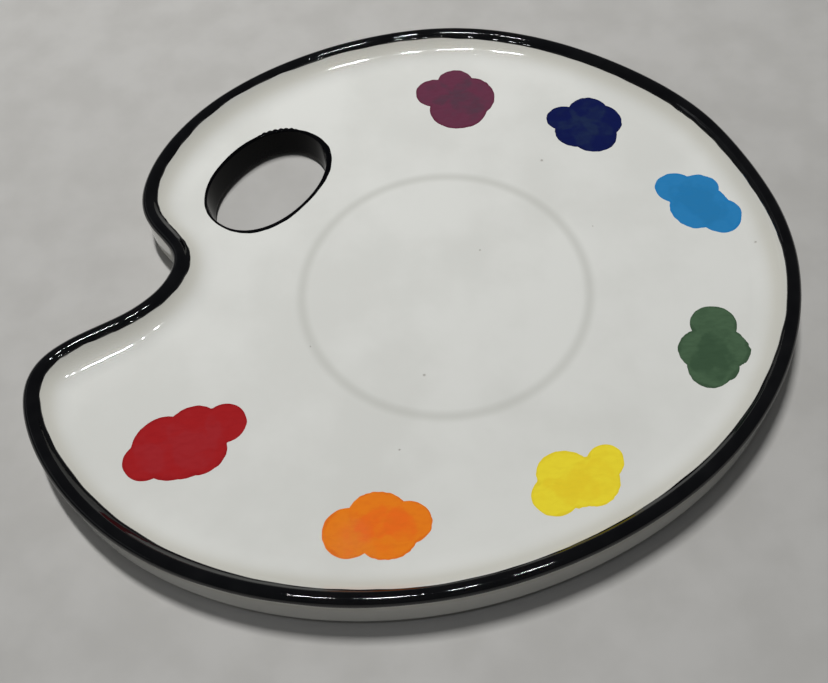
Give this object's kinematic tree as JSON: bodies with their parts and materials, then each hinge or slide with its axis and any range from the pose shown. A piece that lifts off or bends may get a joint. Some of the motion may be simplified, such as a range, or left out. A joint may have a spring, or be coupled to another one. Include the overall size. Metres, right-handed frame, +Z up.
{
  "type": "mixing palette",
  "caption": "Glazed ceramic mixing palette dish with a raised black rim, a thumb hole, a finger notch, a round cup seat and spots of coloured glaze.",
  "frame": {"origin": "middle of the outline's box, on the surface that the foot ring stands on", "axes": "+Z up out of the dish; +X along the palette's length, away from the finger notch; +Y towards the end with the thumb hole"},
  "size_m": [0.2104, 0.1879, 0.0152],
  "materials": {
    "cream_glaze": "gloss",
    "black_glaze": "gloss",
    "plum_glaze": "gloss",
    "navy_glaze": "gloss",
    "sky_blue_glaze": "gloss",
    "green_glaze": "gloss",
    "yellow_glaze": "gloss",
    "orange_glaze": "gloss",
    "red_glaze": "gloss"
  },
  "bodies": {
    "root": {"palette_body": "cream_glaze", "rim_band": "black_glaze", "thumb_hole_band": "black_glaze", "plum_spot": "plum_glaze", "navy_spot": "navy_glaze", "sky_blue_spot": "sky_blue_glaze", "green_spot": "green_glaze", "yellow_spot": "yellow_glaze", "orange_spot": "orange_glaze", "red_spot": "red_glaze"}
  },
  "joints": []
}
